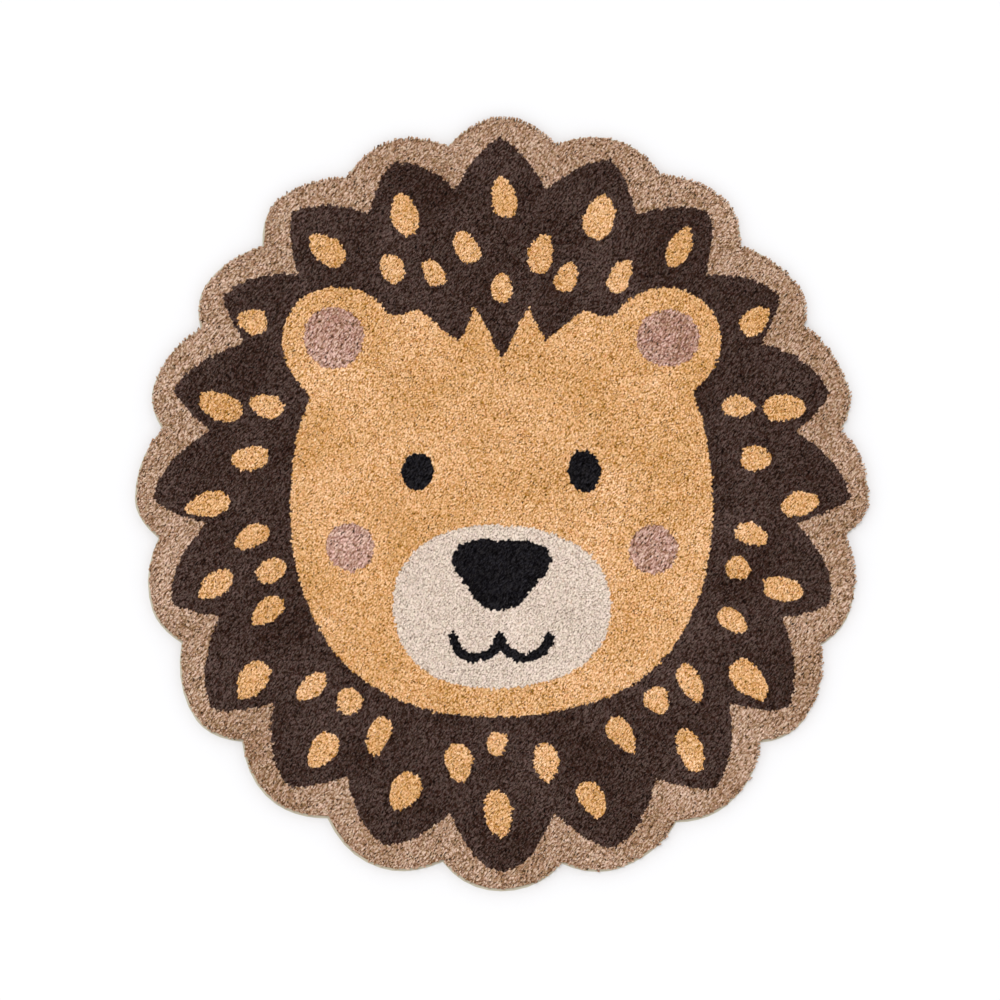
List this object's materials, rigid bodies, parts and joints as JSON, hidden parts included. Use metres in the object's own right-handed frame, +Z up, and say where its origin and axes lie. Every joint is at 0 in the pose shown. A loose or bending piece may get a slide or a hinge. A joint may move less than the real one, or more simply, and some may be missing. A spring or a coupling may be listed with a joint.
{
  "type": "lion shaped kids rug",
  "caption": "Flat rug in the shape of a lion's head: a scalloped border, a mane of pointed locks with light flecks, and a face with round ears, tufted in cut pile on a canvas backing.",
  "frame": {"origin": "on the floor under the middle of the rug's own box", "axes": "+Y towards the crown of the lion's head, +X to the right as it is looked down on, +Z up out of the pile"},
  "size_m": [1.04, 1.1, 0.0145],
  "materials": {
    "canvas": "matt woven cotton canvas",
    "taupe_yarn": "matt cut cotton pile",
    "brown_yarn": "matt cut cotton pile",
    "ochre_yarn": "matt cut cotton pile",
    "mauve_yarn": "matt cut cotton pile",
    "cream_yarn": "matt cut cotton pile",
    "black_yarn": "matt cut cotton pile"
  },
  "bodies": {
    "root": {"backing": "canvas", "pile_border": "taupe_yarn", "pile_mane": "brown_yarn", "pile_face": "ochre_yarn", "muzzle": "cream_yarn", "nose": "black_yarn", "mouth": "black_yarn", "eye_left": "black_yarn", "eye_right": "black_yarn", "cheek_left": "mauve_yarn", "cheek_right": "mauve_yarn", "inner_ear_left": "mauve_yarn", "inner_ear_right": "mauve_yarn", "fleck_outer_01": "ochre_yarn", "fleck_outer_02": "ochre_yarn", "fleck_outer_05": "ochre_yarn", "fleck_outer_06": "ochre_yarn", "fleck_outer_07": "ochre_yarn", "fleck_outer_08": "ochre_yarn", "fleck_outer_09": "ochre_yarn", "fleck_outer_10": "ochre_yarn", "fleck_outer_11": "ochre_yarn", "fleck_outer_12": "ochre_yarn", "fleck_outer_13": "ochre_yarn", "fleck_outer_14": "ochre_yarn", "fleck_outer_15": "ochre_yarn", "fleck_outer_16": "ochre_yarn", "fleck_outer_17": "ochre_yarn", "fleck_outer_20": "ochre_yarn", "fleck_inner_01": "ochre_yarn", "fleck_inner_02": "ochre_yarn", "fleck_inner_05": "ochre_yarn", "fleck_inner_06": "ochre_yarn", "fleck_inner_07": "ochre_yarn", "fleck_inner_08": "ochre_yarn", "fleck_inner_09": "ochre_yarn", "fleck_inner_10": "ochre_yarn", "fleck_inner_11": "ochre_yarn", "fleck_inner_12": "ochre_yarn", "fleck_inner_13": "ochre_yarn", "fleck_inner_14": "ochre_yarn", "fleck_inner_15": "ochre_yarn", "fleck_inner_16": "ochre_yarn", "fleck_inner_19": "ochre_yarn", "fleck_inner_20": "ochre_yarn", "fleck_single_01": "ochre_yarn", "fleck_single_02": "ochre_yarn", "fleck_single_03": "ochre_yarn", "fleck_single_04": "ochre_yarn", "fleck_single_05": "ochre_yarn", "fleck_single_06": "ochre_yarn", "fleck_single_07": "ochre_yarn", "fleck_single_08": "ochre_yarn", "fleck_single_09": "ochre_yarn", "fleck_single_10": "ochre_yarn", "fleck_single_11": "ochre_yarn", "fleck_single_12": "ochre_yarn", "fleck_single_13": "ochre_yarn", "fleck_single_14": "ochre_yarn"}
  },
  "joints": []
}
